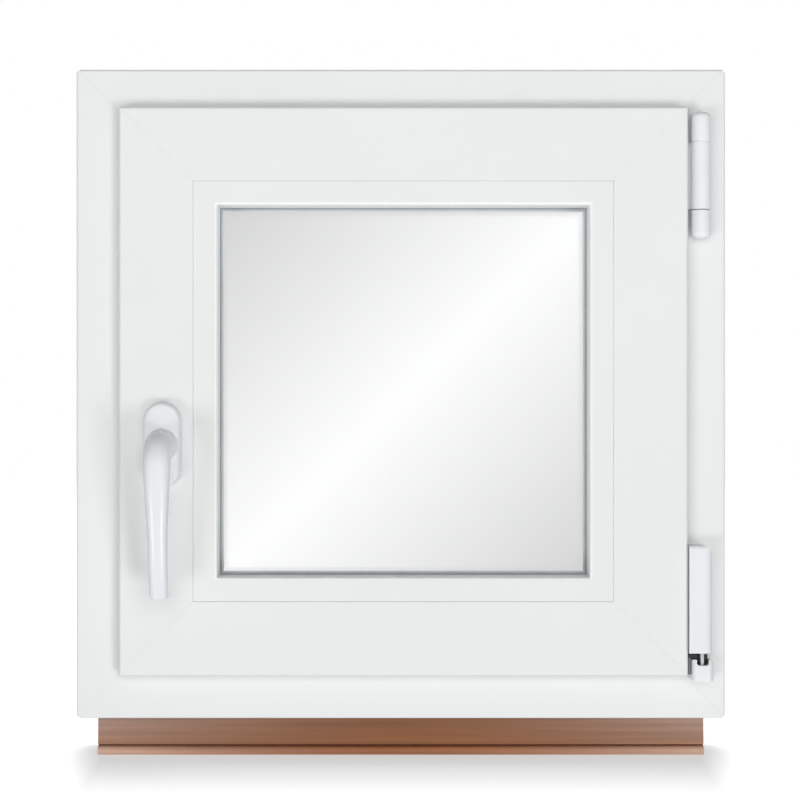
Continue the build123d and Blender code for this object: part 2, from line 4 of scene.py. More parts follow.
import bmesh
import bpy
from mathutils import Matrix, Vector


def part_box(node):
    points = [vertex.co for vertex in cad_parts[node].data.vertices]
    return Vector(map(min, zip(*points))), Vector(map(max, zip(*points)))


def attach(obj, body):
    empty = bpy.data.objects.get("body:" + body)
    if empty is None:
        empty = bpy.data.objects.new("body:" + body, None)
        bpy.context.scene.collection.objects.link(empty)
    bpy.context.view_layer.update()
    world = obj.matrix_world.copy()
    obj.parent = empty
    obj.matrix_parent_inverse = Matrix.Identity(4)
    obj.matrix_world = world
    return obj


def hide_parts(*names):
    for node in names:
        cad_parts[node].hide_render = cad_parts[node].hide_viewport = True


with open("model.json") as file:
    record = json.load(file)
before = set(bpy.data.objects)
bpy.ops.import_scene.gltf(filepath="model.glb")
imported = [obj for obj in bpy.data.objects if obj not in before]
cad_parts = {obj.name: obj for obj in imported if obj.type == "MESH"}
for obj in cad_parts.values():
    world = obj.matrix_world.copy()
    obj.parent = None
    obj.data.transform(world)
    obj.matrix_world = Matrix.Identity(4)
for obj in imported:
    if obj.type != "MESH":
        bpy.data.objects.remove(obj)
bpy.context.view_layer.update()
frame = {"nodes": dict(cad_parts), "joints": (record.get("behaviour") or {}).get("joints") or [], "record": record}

# The looks of a white tilt-and-turn window, in metres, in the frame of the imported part:
# X to the right as seen from the room, Y from the room outward, Z up.

MM = 0.001
SMOOTH_ANGLE = math.radians(38)

# Camera, straight in front of the window, a little above its middle
IMAGE_SIDE = 800
CAMERA_PLACE = Vector((-0.0006, -1.885, 0.2753))
FOCAL_PIXELS = 2401
SENSOR_WIDTH = 36.0

# Finishes, in linear light
PROFILE_WHITE = (0.815, 0.830, 0.828)
# painted light: the beads' rounded edge round the opening, paler than the profile
BEAD_EDGE_PAINTED_LIGHT = (0.930, 0.945, 0.945)
HANDLE_WHITE = (0.800, 0.828, 0.845)
CAP_WHITE = (0.828, 0.855, 0.874)
TRIM_WHITE = (0.800, 0.812, 0.810)
GASKET_DARK = (0.230, 0.257, 0.273)
# painted light: the glazing gaskets pale toward their lips
GASKET_PAINTED_LIGHT = (0.700, 0.745, 0.775)
SEAL_GREY = (0.290, 0.315, 0.330)
SPACER_GREY = (0.600, 0.610, 0.620)
STEEL_GREY = (0.520, 0.530, 0.540)
# painted shade: a darker copy of the hinge steel for the corner bracket, which sits in shadow
PAINTED_SHADE_STEEL = (0.170, 0.185, 0.190)
# black of the lower bush and arm, partly painted shade round the pin and under the cover
BUSH_BLACK_AND_PAINTED_SHADE = (0.022, 0.026, 0.024)
GLASS_TINT = (0.870, 0.875, 0.873)
SILL_MIDDLE_LOW = (0.205, 0.070, 0.018)
# painted sheen: the sill's colours at its top and at its ends, paler and greyer than its brown
SILL_MIDDLE_TOP_PAINTED_SHEEN = (0.175, 0.069, 0.026)
SILL_END_PAINTED_SHEEN = (0.330, 0.166, 0.098)
SILL_END_TOP_PAINTED_SHEEN = (0.355, 0.246, 0.205)
# painted highlight: the sill's lip, lighter than its face
LIP_PAINTED_HIGHLIGHT = (0.270, 0.094, 0.034)
LIP_END_PAINTED_HIGHLIGHT = (0.530, 0.330, 0.240)
# painted shade: the dark of the sill's groove
GROOVE_PAINTED_SHADE = (0.200, 0.030, 0.001)

# Profiles
PROFILE_LINES = {"x": (2, 900, 900), "z": (900, 900, 2)}  # waves a metre in X, Y and Z, by run
WELD_HALF_WIDTH = 1.7 * MM  # along X or Z, across a welded mitre
WELD_DEPTH = 0.8  # how much of the range of tones a weld takes away
GASKET_SEAT = 8.0 * MM
GASKET_PAINTED_LIGHT_REACH = 2.6 * MM
GASKET_DUST = 0.08  # share of the painted light that dust takes back
BEAD_ROUNDING = 2.4 * MM
SILL_STREAKS = (5, 260, 260)  # waves a metre in X, Y and Z
SILL_GRAIN = (9, 1900, 1900)
SILL_LIP_TOP = 6.7 * MM
SILL_GROOVE_TOP = 8.1 * MM
SILL_LIP_EDGE = 0.2 * MM

# Handle, as its solids have it, with a flared foot
ROSETTE_TAPER = math.radians(6)
ROSETTE_ROUNDING = 2.6 * MM
ROSETTE_BASE_LINE = 1.4 * MM
ROSETTE_BASE_GROOVE = 0.2 * MM
NECK_GAP = 0.3 * MM
LEVER_REACH = 47.0 * MM
LEVER_TIP_REACH = 31.0 * MM
LEVER_LENGTH = 115.0 * MM
ELBOW_RADIUS = 16.0 * MM
FOOT_SIZE = (24.8 * MM, 24.8 * MM)
FOOT_HEIGHT = 8.0 * MM
NECK_SIZE = (22.0 * MM, 22.0 * MM)
WAIST_SIZE = (20.5 * MM, 20.5 * MM)
KNEE_SIZE = (20.5 * MM, 15.5 * MM)
GRIP_SIZE = (14.8 * MM, 12.0 * MM)
TIP_SIZE = (14.2 * MM, 10.6 * MM)
GRIP_STATION = 0.55
TIP_ROUNDING = 2.2 * MM
NECK_POWER = 2.0  # of the section's superellipse: 2 is an ellipse
GRIP_POWER = 2.45

# Hinges
DOME_RADIUS = 4.5 * MM
SEAM_ROUNDING = 0.5 * MM
CAP_GROOVE_DROP = 3.6 * MM
CAP_GROOVE_DEPTH = 0.25 * MM
WASHER_INSET = 0.25 * MM
CUP_FRONT_RADIUS = 5.0 * MM
CUP_SHOULDER_RADIUS = 3.6 * MM
CUP_CORNER_RADIUS = 1.6 * MM
CUP_FOOT_RADIUS = 2.0 * MM
CUP_NOTCH_WIDTH = 9.2 * MM
CUP_NOTCH_DEPTH = 4.5 * MM
CUP_NOTCH_RADIUS = 2.0 * MM
CUP_EDGE = 0.5 * MM
CUP_EDGE_ANGLE = math.radians(50)
BUSH_RADIUS = 4.3 * MM
BUSH_CLEARANCE = 0.15 * MM
BUSH_CHAMFER = 0.5 * MM
BUSH_FOOT = (1.0 * MM, 2.4 * MM)  # inward, upward
BUSH_LIFT = 0.4 * MM
BUSH_TOP_GAP = 1.2 * MM
BUSH_OPENING = math.radians(30)
ARM_HEIGHT = 2.8 * MM
ARM_DEPTH = 5.0 * MM

# Stage and light
FLOOR_HALF = 6.0
FLOOR_DROP = 0.3 * MM
FLOOR_GREY = (0.34, 0.34, 0.34, 1)  # takes the lamp's shadow; the glow makes it white, but is weaker near the window, where it paints a shadow
FLOOR_GLOW_IN_PAINTED_SHADOW = 0.49
FLOOR_GLOW_FAR = 1.0
FLOOR_GLOW_START = 0.06  # from here to the next, before and behind the window, the painted shadow fades to white
FLOOR_GLOW_STOP = 0.42
# the painted shadow on the floor: its half width, its fade and how it narrows away from the window
SHADOW_HALF_WIDTH = 0.236
SHADOW_REACH = 0.038
SHADOW_TAPER = 0.13
CARD_DEPTH = -1.0
CARD_HALF = 0.225
CARD_GLOW = 2.9
AMBIENT_ABOVE = 0.13
AMBIENT_BELOW = 0.42
AMBIENT_BLEND = 0.3  # height of a direction at which each of the two is reached

# Lamps: places in metres, width and height in metres, power in watts
LAMP_TARGET = (0.0, 0.0, 0.3)
LOW_LEFT_PLACE, LOW_LEFT_SIZE, LOW_LEFT_POWER = (-6.66, -9.36, -4.38), (3.6, 3.6), 308.0
LOW_RIGHT_PLACE, LOW_RIGHT_SIZE, LOW_RIGHT_POWER = (5.58, -9.36, -4.38), (3.06, 3.6), 330.0
FRONT_PLACE, FRONT_SIZE, FRONT_POWER = (0.1, -2.6, 0.8), (2.6, 1.6), 31.5
ABOVE_PLACE, ABOVE_SIZE, ABOVE_POWER = (0.0, 0.60, 4.0), (0.8, 1.0), 78.0
ABOVE_TARGET = (0.0, 0.1, 0.0)
BEHIND_PLACE, BEHIND_SIZE, BEHIND_POWER = (-1.5, 5.0, 4.5), (4.0, 4.0), 300.0
MEMBER_NAMES = ("frame_", "sash_", "sill_", "drain_")  # starts of the names of what is lit from behind


def add_node(tree, kind, inputs=None, **settings):
    """A new shader node. Each input is a value or another node's output."""
    made = tree.nodes.new(kind)
    for name, value in settings.items():
        setattr(made, name, value)
    for name, value in (inputs or {}).items():
        if isinstance(value, bpy.types.NodeSocket):
            tree.links.new(value, made.inputs[name])
        else:
            made.inputs[name].default_value = value
    return made


def new_material(name, **sockets):
    """A material, its tree and its Principled shader, with plain values set on the shader's own sockets."""
    material = bpy.data.materials.new(name)
    material.use_nodes = True
    shader = material.node_tree.nodes["Principled BSDF"]
    for socket, value in sockets.items():
        shader.inputs[socket.replace("_", " ")].default_value = value
    return material, material.node_tree, shader


def calculate(tree, operation, first, second=0.0):
    return add_node(tree, "ShaderNodeMath", {0: first, 1: second}, operation=operation).outputs[0]


def object_place(tree, scale=(1, 1, 1)):
    """Object coordinates in metres, stretched by a scale for each axis."""
    place = add_node(tree, "ShaderNodeTexCoord").outputs["Object"]
    return add_node(tree, "ShaderNodeMapping", {"Vector": place, "Scale": scale}).outputs["Vector"]


def offsets(tree, middle):
    """Distances in X, Y and Z from a point."""
    parts = add_node(tree, "ShaderNodeSeparateXYZ", {0: object_place(tree)}).outputs
    steps = [calculate(tree, "SUBTRACT", parts[axis], middle[axis]) for axis in range(3)]
    return [calculate(tree, "ABSOLUTE", step) for step in steps]


def noise(tree, place, scale=1.0, detail=2.0):
    inputs = {"Vector": place, "Scale": scale, "Detail": detail}
    return add_node(tree, "ShaderNodeTexNoise", inputs).outputs["Fac"]


def spread(tree, value, low, high, start=0.3, stop=0.7):
    """A value stretched from start and stop, by default the usual range of a noise, to low and high."""
    inputs = {"Value": value, "From Min": start, "From Max": stop, "To Min": low, "To Max": high}
    return add_node(tree, "ShaderNodeMapRange", inputs).outputs["Result"]


def blend(tree, share, first, second):
    """A colour between two, each a plain colour or another node's output."""
    made = add_node(tree, "ShaderNodeMix", data_type="RGBA")
    tree.links.new(share, made.inputs["Factor"])
    for socket, color in (("A", first), ("B", second)):
        if isinstance(color, bpy.types.NodeSocket):
            tree.links.new(color, made.inputs[socket])
        else:
            made.inputs[socket].default_value = (*color, 1)
    return made.outputs["Result"]


def bump(tree, height, strength, distance, under=None):
    inputs = {"Height": height, "Strength": strength, "Distance": distance}
    if under is not None:
        inputs["Normal"] = under
    return add_node(tree, "ShaderNodeBump", inputs).outputs["Normal"]


def shade(color, share):
    return tuple(channel * share for channel in color)


def scaled(tree, color, share):
    """A worked-out colour made darker or lighter by a worked-out share."""
    inputs = {0: color, "Scale": share}
    return add_node(tree, "ShaderNodeVectorMath", inputs, operation="SCALE").outputs["Vector"]


def dress(tree, shader, color=None, roughness=None, normal=None):
    """Joins the worked-out colour, roughness and normal to the shader."""
    for socket, value in (("Base Color", color), ("Roughness", roughness), ("Normal", normal)):
        if value is not None:
            tree.links.new(value, shader.inputs[socket])


def white_profile(name, run, weld_middle=None, opening=None):
    """Extruded white plastic: faint lines along its run, slow changes of tone and traces of its welds.

    A bead is paler along its rounded edge, round the opening that it frames: painted light.
    """
    material, tree, shader = new_material(name, Specular_IOR_Level=0.4)
    lines = noise(tree, object_place(tree, PROFILE_LINES[run]))
    grain = noise(tree, object_place(tree), scale=2400.0, detail=1.0)
    cloud = noise(tree, object_place(tree), scale=7.0, detail=3.0)
    tone = spread(tree, cloud, low=0.4, high=1.0)
    if weld_middle is not None:
        across, _, up = offsets(tree, weld_middle)
        off_mitre = calculate(tree, "ABSOLUTE", calculate(tree, "SUBTRACT", across, up))
        weld = spread(tree, off_mitre, WELD_DEPTH, 0, start=0.7 * WELD_HALF_WIDTH, stop=WELD_HALF_WIDTH)
        tone = calculate(tree, "SUBTRACT", tone, weld)
    color = blend(tree, tone, shade(PROFILE_WHITE, share=0.965), PROFILE_WHITE)
    if opening is not None:
        low, high = opening
        across, _, up = offsets(tree, (low + high) / 2)
        half = (high - low) / 2
        outward = calculate(tree, "MAXIMUM", calculate(tree, "SUBTRACT", across, half.x),
                            calculate(tree, "SUBTRACT", up, half.z))
        # painted light: the bead pales along its rounded edge
        painted_light_at_edge = spread(tree, outward, 1, 0, start=0.6 * BEAD_ROUNDING, stop=BEAD_ROUNDING)
        color = blend(tree, painted_light_at_edge, color, BEAD_EDGE_PAINTED_LIGHT)
    ribbed = bump(tree, lines, strength=0.06, distance=0.05 * MM)
    dress(tree, shader, color, roughness=spread(tree, lines, low=0.35, high=0.45),
          normal=bump(tree, grain, strength=0.05, distance=0.03 * MM, under=ribbed))
    return material


def moulded_white(name, color, roughness, change=0.02):
    """Smooth moulded or coated white: a very fine grain and slow changes of tone and gloss."""
    material, tree, shader = new_material(name, Specular_IOR_Level=0.42)
    cloud = noise(tree, object_place(tree), scale=14.0)
    grain = noise(tree, object_place(tree), scale=2600.0, detail=1.0)
    color = blend(tree, spread(tree, cloud, 0, 1), shade(color, share=0.985), color)
    dress(tree, shader, color, roughness=spread(tree, cloud, roughness - change, roughness + change),
          normal=bump(tree, grain, strength=0.04, distance=0.02 * MM))
    return material


def rubber(name, node=None):
    """Matte grey rubber with a dusty grain. A glazing gasket pales toward its lip: painted light, less where dust
    lies.
    """
    material, tree, shader = new_material(name, Specular_IOR_Level=0.35)
    dust = spread(tree, noise(tree, object_place(tree), scale=90.0, detail=4.0), 0, 1)
    grain = noise(tree, object_place(tree), scale=1500.0)
    if node is None:
        color = blend(tree, dust, shade(SEAL_GREY, share=0.85), SEAL_GREY)
    else:
        low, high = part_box(node)
        across, _, up = offsets(tree, (low + high) / 2)
        inward = calculate(tree, "SUBTRACT", (high.x - low.x) / 2, calculate(tree, "MAXIMUM", across, up))
        # painted light toward the gasket's lip, which dust partly takes back
        painted_light_toward_lip = spread(tree, inward, 0, 1, GASKET_SEAT, GASKET_SEAT + GASKET_PAINTED_LIGHT_REACH)
        painted_light_less_dust = calculate(tree, "SUBTRACT", painted_light_toward_lip, calculate(tree, "MULTIPLY", dust, GASKET_DUST))
        color = blend(tree, painted_light_less_dust, GASKET_DARK, GASKET_PAINTED_LIGHT)
    dress(tree, shader, color, roughness=spread(tree, dust, low=0.45, high=0.65),
          normal=bump(tree, grain, strength=0.15, distance=0.05 * MM))
    return material


def clear_glass():
    """Float glass, a little grey, with a trace of haze."""
    material, tree, shader = new_material("clear_glass", IOR=1.5, Transmission_Weight=1.0)
    haze = noise(tree, object_place(tree), scale=11.0, detail=3.0)
    color = blend(tree, spread(tree, haze, 0, 1), shade(GLASS_TINT, share=0.995), GLASS_TINT)
    dress(tree, shader, color, roughness=spread(tree, haze, low=0.0, high=0.012))
    return material


def metal(name, color, roughness, change=0.08):
    """Plated metal with crystalline patches and fine rolling marks."""
    material, tree, shader = new_material(name, Metallic=1.0)
    patches = noise(tree, object_place(tree), scale=160.0, detail=4.0)
    marks = noise(tree, object_place(tree, scale=(1500, 1500, 40)))
    color = blend(tree, spread(tree, patches, 0, 1), shade(color, share=0.78), color)
    dress(tree, shader, color, roughness=spread(tree, patches, roughness - change, roughness + change),
          normal=bump(tree, marks, strength=0.05, distance=0.05 * MM))
    return material


def black_bush_and_painted_shade():
    """Dark moulded plastic with a fine grain; its dark is partly painted shade round the lower pin and under the
    cover.
    """
    material, tree, shader = new_material("black_bush_and_painted_shade", Specular_IOR_Level=0.3)
    cloud = noise(tree, object_place(tree), scale=300.0, detail=3.0)
    color = blend(tree, spread(tree, cloud, 0, 1), shade(BUSH_BLACK_AND_PAINTED_SHADE, share=0.6), BUSH_BLACK_AND_PAINTED_SHADE)
    dress(tree, shader, color, roughness=spread(tree, cloud, low=0.4, high=0.55),
          normal=bump(tree, cloud, strength=0.1, distance=0.05 * MM))
    return material


def brown_sill():
    """Brown plastic profile with streaks along its length. Paler and greyer toward its ends and its top with
    painted sheen; a painted highlight on its lip and painted shade in its groove.
    """
    material, tree, shader = new_material(
        "brown_sill", Specular_IOR_Level=0.35, Coat_Weight=0.06, Coat_Roughness=0.3
    )
    half_length, _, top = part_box("sill_profile")[1]
    bands = noise(tree, object_place(tree, SILL_STREAKS), detail=3.0)
    streak = spread(tree, bands, low=0.86, high=1.14, start=0.35, stop=0.65)
    fine = noise(tree, object_place(tree, SILL_GRAIN))
    groove_middle = (SILL_LIP_TOP + SILL_GROOVE_TOP) / 2
    groove_half = (SILL_GROOVE_TOP - SILL_LIP_TOP) / 2
    along, _, off_groove = offsets(tree, Vector((0, 0, groove_middle)))
    # painted sheen: toward its ends and its top the sill turns paler and greyer
    painted_sheen_to_ends = calculate(tree, "POWER", spread(tree, along, 0, 1, 0, half_length), 2.0)
    height = add_node(tree, "ShaderNodeSeparateXYZ", {0: object_place(tree)}).outputs["Z"]
    rise = spread(tree, height, 0, 1, SILL_GROOVE_TOP, top)
    in_lip = spread(tree, height, 1, 0, SILL_LIP_TOP, SILL_LIP_TOP + SILL_LIP_EDGE)
    # painted shade darkens the groove between the lip and the face
    painted_shade_in_groove = spread(tree, off_groove, 1, 0, start=0.4 * groove_half, stop=groove_half)
    middle = blend(tree, rise, SILL_MIDDLE_LOW, SILL_MIDDLE_TOP_PAINTED_SHEEN)
    end = blend(tree, rise, SILL_END_PAINTED_SHEEN, SILL_END_TOP_PAINTED_SHEEN)
    body = scaled(tree, blend(tree, painted_sheen_to_ends, middle, end), streak)
    # painted highlight: the lip is lighter than the face above it
    lip = scaled(tree, blend(tree, painted_sheen_to_ends, LIP_PAINTED_HIGHLIGHT, LIP_END_PAINTED_HIGHLIGHT), streak)
    color = blend(tree, painted_shade_in_groove, blend(tree, in_lip, body, lip), GROOVE_PAINTED_SHADE)
    dress(tree, shader, color, roughness=spread(tree, fine, low=0.34, high=0.5),
          normal=bump(tree, fine, strength=0.12, distance=0.06 * MM))
    return material


def finish_piece(piece, material, body):
    """Gives a piece smooth shading, a material and the body that it moves with."""
    piece.data.shade_smooth()
    piece.data.set_sharp_from_angle(angle=SMOOTH_ANGLE)
    piece.data.materials.clear()
    piece.data.materials.append(material)
    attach(piece, body)


def link_mesh(name, points, faces, material, body, slot):
    """A finished piece from points and faces."""
    mesh = bpy.data.meshes.new(name)
    mesh.from_pydata([tuple(point) for point in points], [], faces)
    piece = bpy.data.objects.new(name, mesh)
    bpy.context.scene.collection.objects.link(piece)
    finish_piece(piece, material, body)
    return piece


def skin(rings):
    """Points and faces of a closed skin over rings of equally many points, flat at both ends."""
    count = len(rings[0])
    points = [point for ring in rings for point in ring]
    faces = []
    for row in range(len(rings) - 1):
        for place in range(count):
            following = (place + 1) % count
            start = row * count
            corners = (place, following, count + following, count + place)
            faces.append(tuple(start + corner for corner in corners))
    last = (len(rings) - 1) * count
    faces.append(tuple(reversed(range(count))))
    faces.append(tuple(range(last, last + count)))
    return points, faces


def arc_shares(steps):
    """Pairs of shares along a quarter turn: how far in, and how far along."""
    turns = [math.pi / 2 * step / steps for step in range(steps + 1)]
    return [(1 - math.cos(turn), math.sin(turn)) for turn in turns]


def superellipse(width, thickness, power, count):
    """Points round a section that lies between an ellipse and a rectangle."""
    points = []
    for step in range(count):
        turn = 2 * math.pi * step / count
        across = math.copysign(abs(math.cos(turn)) ** (2 / power), math.cos(turn))
        deep = math.copysign(abs(math.sin(turn)) ** (2 / power), math.sin(turn))
        points.append((width / 2 * across, thickness / 2 * deep))
    return points


def blend_size(first, second, share):
    return tuple(a + (b - a) * share for a, b in zip(first, second))


def lever_stations(neck_start):
    """Rows along the lever: its distance off the sash, its drop, its heading and its size."""
    foot_steps, neck_steps, elbow_steps, grip_steps, tip_steps = 8, 4, 18, 44, 8
    stations = []
    for step in range(foot_steps):
        share = step / foot_steps
        size = blend_size(FOOT_SIZE, NECK_SIZE, 1 - (1 - share) ** 2)
        stations.append((neck_start + FOOT_HEIGHT * share, 0.0, 0.0, size))
    neck_base = neck_start + FOOT_HEIGHT
    for step in range(neck_steps):
        share = step / neck_steps
        reach = neck_base + (LEVER_REACH - ELBOW_RADIUS - neck_base) * share
        stations.append((reach, 0.0, 0.0, blend_size(NECK_SIZE, WAIST_SIZE, share)))
    for step in range(elbow_steps):
        share = step / elbow_steps
        turn = math.pi / 2 * share
        reach = LEVER_REACH - ELBOW_RADIUS * (1 - math.sin(turn))
        drop = ELBOW_RADIUS * (1 - math.cos(turn))
        stations.append((reach, drop, turn, blend_size(WAIST_SIZE, KNEE_SIZE, share)))
    fall = LEVER_LENGTH - ELBOW_RADIUS
    setback = LEVER_REACH - LEVER_TIP_REACH
    radius = (fall**2 + setback**2) / (2 * setback)
    bend = math.asin(fall / radius)
    tip_start = 1 - TIP_ROUNDING / (radius * bend)

    def grip_place(share):
        turn = bend * share
        reach = LEVER_REACH - radius * (1 - math.cos(turn))
        return reach, ELBOW_RADIUS + radius * math.sin(turn), math.pi / 2 + turn

    for step in range(grip_steps + 1):
        share = tip_start * step / grip_steps
        if share < GRIP_STATION:
            size = blend_size(KNEE_SIZE, GRIP_SIZE, share / GRIP_STATION)
        else:
            size = blend_size(GRIP_SIZE, TIP_SIZE, (share - GRIP_STATION) / (tip_start - GRIP_STATION))
        stations.append((*grip_place(share), size))
    for inward, along in arc_shares(tip_steps)[1:]:
        size = tuple(side - 2 * TIP_ROUNDING * inward for side in TIP_SIZE)
        stations.append((*grip_place(tip_start + (1 - tip_start) * along), size))
    return stations


def make_lever(material, spindle):
    """Smooth cranked lever over the lever solid."""
    rosette_thickness = spindle.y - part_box("handle_rosette")[0].y
    count = 56
    rings = []
    for reach, drop, heading, (width, thickness) in lever_stations(rosette_thickness + NECK_GAP):
        middle = spindle + Vector((0, -reach, -drop))
        thick_way = Vector((0, -math.sin(heading), math.cos(heading)))
        power = NECK_POWER + (GRIP_POWER - NECK_POWER) * min(1.0, heading / (math.pi / 2))
        section = superellipse(width, thickness, power, count)
        rings.append([middle + Vector((1, 0, 0)) * across + thick_way * deep for across, deep in section])
    lever = link_mesh("lever_skin", *skin(rings), material, "handle", "white_handle")
    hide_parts("handle_lever")


def stadium(width, height, inset, arc_steps=28, side_steps=6):
    """Points round an upright oval with straight sides, drawn in by an inset."""
    radius = width / 2 - inset
    rise = (height - width) / 2
    points = []
    for turn_start, centre in ((0.0, rise), (math.pi, -rise)):
        for step in range(arc_steps + 1):
            turn = turn_start + math.pi * step / arc_steps
            points.append((radius * math.cos(turn), centre + radius * math.sin(turn)))
        side = -radius if turn_start == 0 else radius
        for step in range(1, side_steps):
            points.append((side, centre * (1 - 2 * step / side_steps)))
    return points


def make_rosette(material, spindle):
    """Oval plate with a rounded rim and a joint line near its base."""
    low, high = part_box("handle_rosette")
    width, thickness, height = high - low
    groove = ROSETTE_BASE_GROOVE
    rows = [
        (0.0, groove * 0.5),
        (ROSETTE_BASE_LINE - groove, groove * 0.5),
        (ROSETTE_BASE_LINE - groove * 0.5, groove),
        (ROSETTE_BASE_LINE + groove * 0.5, groove),
        (ROSETTE_BASE_LINE + groove, 0.0),
    ]
    shoulder = thickness - ROSETTE_ROUNDING
    for inward, along in arc_shares(steps=8):
        level = shoulder + ROSETTE_ROUNDING * along
        slope = (level - ROSETTE_BASE_LINE) * math.tan(ROSETTE_TAPER)
        rows.append((level, slope + ROSETTE_ROUNDING * inward))
    rings = []
    for level, inset in rows:
        outline = stadium(width, height, inset)
        rings.append([spindle + Vector((across, -level, up)) for across, up in outline])
    rosette = link_mesh("rosette_skin", *skin(rings), material, "window", "white_handle")
    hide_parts("handle_rosette")


def lathe(profile, axis, flat_y, count=64):
    """Rings round an upright axis for pairs of radius and height, cut flat behind a depth."""
    rings = []
    for radius, height in profile:
        ring = []
        for step in range(count):
            turn = 2 * math.pi * step / count
            deep = min(axis.y + radius * math.sin(turn), flat_y)
            ring.append(Vector((axis.x + radius * math.cos(turn), deep, height)))
        rings.append(ring)
    return rings


def barrel_axis(node):
    """Radius of an upper hinge barrel, its upright axis and the depth of its flat back."""
    low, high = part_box(node)
    radius = (high.x - low.x) / 2
    return radius, Vector((low.x + radius, low.y + radius, 0)), high.y


def make_hinge_cap(material, node, points_up):
    """Domed barrel over one cap of the upper hinge. The lower one has a fine groove under its seam."""
    low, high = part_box(node)
    radius, axis, flat_y = barrel_axis(node)
    seam, dome, out = (low.z, high.z, 1) if points_up else (high.z, low.z, -1)
    profile = [(radius - SEAM_ROUNDING * (1 - along), seam + out * SEAM_ROUNDING * inward)
               for inward, along in arc_shares(steps=4)]
    if not points_up:
        line = seam + out * CAP_GROOVE_DROP
        for shift, depth in ((-2, 0), (-1, 1), (1, 1), (2, 0)):
            profile.append((radius - CAP_GROOVE_DEPTH * depth, line + out * CAP_GROOVE_DEPTH * shift))
    for inward, along in arc_shares(steps=10):
        profile.append((radius - DOME_RADIUS * inward, dome - out * DOME_RADIUS * (1 - along)))
    if not points_up:
        profile.reverse()
    shell = skin(lathe(profile, axis, flat_y))
    cap = link_mesh(node + "_skin", *shell, material, "window", "white_hinge_cap")
    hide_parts(node)


def make_hinge_washer(material):
    """White washer that fills the upper seam of the upper hinge."""
    radius, axis, flat_y = barrel_axis("upper_hinge_top_cap")
    sleeve_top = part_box("upper_hinge_sleeve")[1].z
    cap_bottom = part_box("upper_hinge_top_cap")[0].z
    profile = [(radius - WASHER_INSET, sleeve_top), (radius - WASHER_INSET, cap_bottom)]
    shell = skin(lathe(profile, axis, flat_y))
    link_mesh("upper_hinge_washer", *shell, material, "window", "white_hinge_cap")


def rounded_box(low, high, radii, steps=8):
    """Points round a rectangle whose corners, from the low left one on, each have a radius."""
    corners = ((low[0], low[1]), (high[0], low[1]), (high[0], high[1]), (low[0], high[1]))
    ways = ((1, 1), (-1, 1), (-1, -1), (1, -1))
    points = []
    for place, (corner, way, radius) in enumerate(zip(corners, ways, radii)):
        centre = (corner[0] + way[0] * radius, corner[1] + way[1] * radius)
        for step in range(steps + 1 if radius else 1):
            turn = math.pi * (1 + place / 2) + math.pi / 2 * step / steps
            points.append((centre[0] + radius * math.cos(turn), centre[1] + radius * math.sin(turn)))
    return points


def closed_object(name, rings):
    """An object over rings of points, with its faces turned outward."""
    points, faces = skin(rings)
    mesh = bpy.data.meshes.new(name)
    mesh.from_pydata([tuple(point) for point in points], [], faces)
    shape = bmesh.new()
    shape.from_mesh(mesh)
    bmesh.ops.recalc_face_normals(shape, faces=shape.faces)
    shape.to_mesh(mesh)
    shape.free()
    made = bpy.data.objects.new(name, mesh)
    bpy.context.scene.collection.objects.link(made)
    return made


def settle(piece):
    """Turns a piece's modifiers into its own mesh."""
    graph = bpy.context.evaluated_depsgraph_get()
    mesh = bpy.data.meshes.new_from_object(piece.evaluated_get(graph))
    piece.modifiers.clear()
    piece.data = mesh


def cut(piece, operation, rings):
    """Cuts a piece with, or down to, a closed shape over rings of points."""
    tool = closed_object("cutter", rings)
    change = piece.modifiers.new("cut", "BOOLEAN")
    change.operation = operation
    change.object = tool
    settle(piece)
    bpy.data.objects.remove(tool)


def soften(piece, width, angle, segments=3):
    """Rounds the edges of a piece that are sharper than an angle."""
    edge = piece.modifiers.new("edge", "BEVEL")
    edge.width = width
    edge.segments = segments
    edge.limit_method = "ANGLE"
    edge.angle_limit = angle
    settle(piece)


def make_hinge_cup(material):
    """Cup of the lower hinge: rounded all round, with a round-cornered notch and a bore for the pin."""
    low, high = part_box("lower_hinge_cup")
    pin_low, pin_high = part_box("lower_hinge_pin")
    pin = (pin_low + pin_high) / 2
    plan = rounded_box((low.x, low.y), (high.x, high.y), (CUP_FRONT_RADIUS, CUP_FRONT_RADIUS, 0, 0))
    cup = closed_object("lower_hinge_cup_skin", [
        [Vector((across, deep, level)) for across, deep in plan] for level in (low.z, high.z)
    ])
    radii = (CUP_FOOT_RADIUS, CUP_FOOT_RADIUS, CUP_SHOULDER_RADIUS, CUP_CORNER_RADIUS)
    front = rounded_box((low.x, low.z), (high.x, high.z), radii)
    notch_low = (pin.x - CUP_NOTCH_WIDTH / 2, high.z - CUP_NOTCH_DEPTH)
    notch_high = (pin.x + CUP_NOTCH_WIDTH / 2, high.z + CUP_NOTCH_DEPTH)
    notch = rounded_box(notch_low, notch_high, (CUP_NOTCH_RADIUS, CUP_NOTCH_RADIUS, 0, 0))
    past = CUP_NOTCH_DEPTH
    depths = (low.y - past, high.y + past)
    for operation, outline in (("INTERSECT", front), ("DIFFERENCE", notch)):
        cut(cup, operation, [
            [Vector((across, deep, level)) for across, level in outline] for deep in depths
        ])
    soften(cup, CUP_EDGE, CUP_EDGE_ANGLE)
    bore = (pin_high.x - pin_low.x) / 2 + BUSH_CLEARANCE
    cut(cup, "DIFFERENCE", lathe([(bore, pin_low.z), (bore, high.z)], pin, pin.y + bore, count=40))
    finish_piece(cup, material, "window")
    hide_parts("lower_hinge_cup")


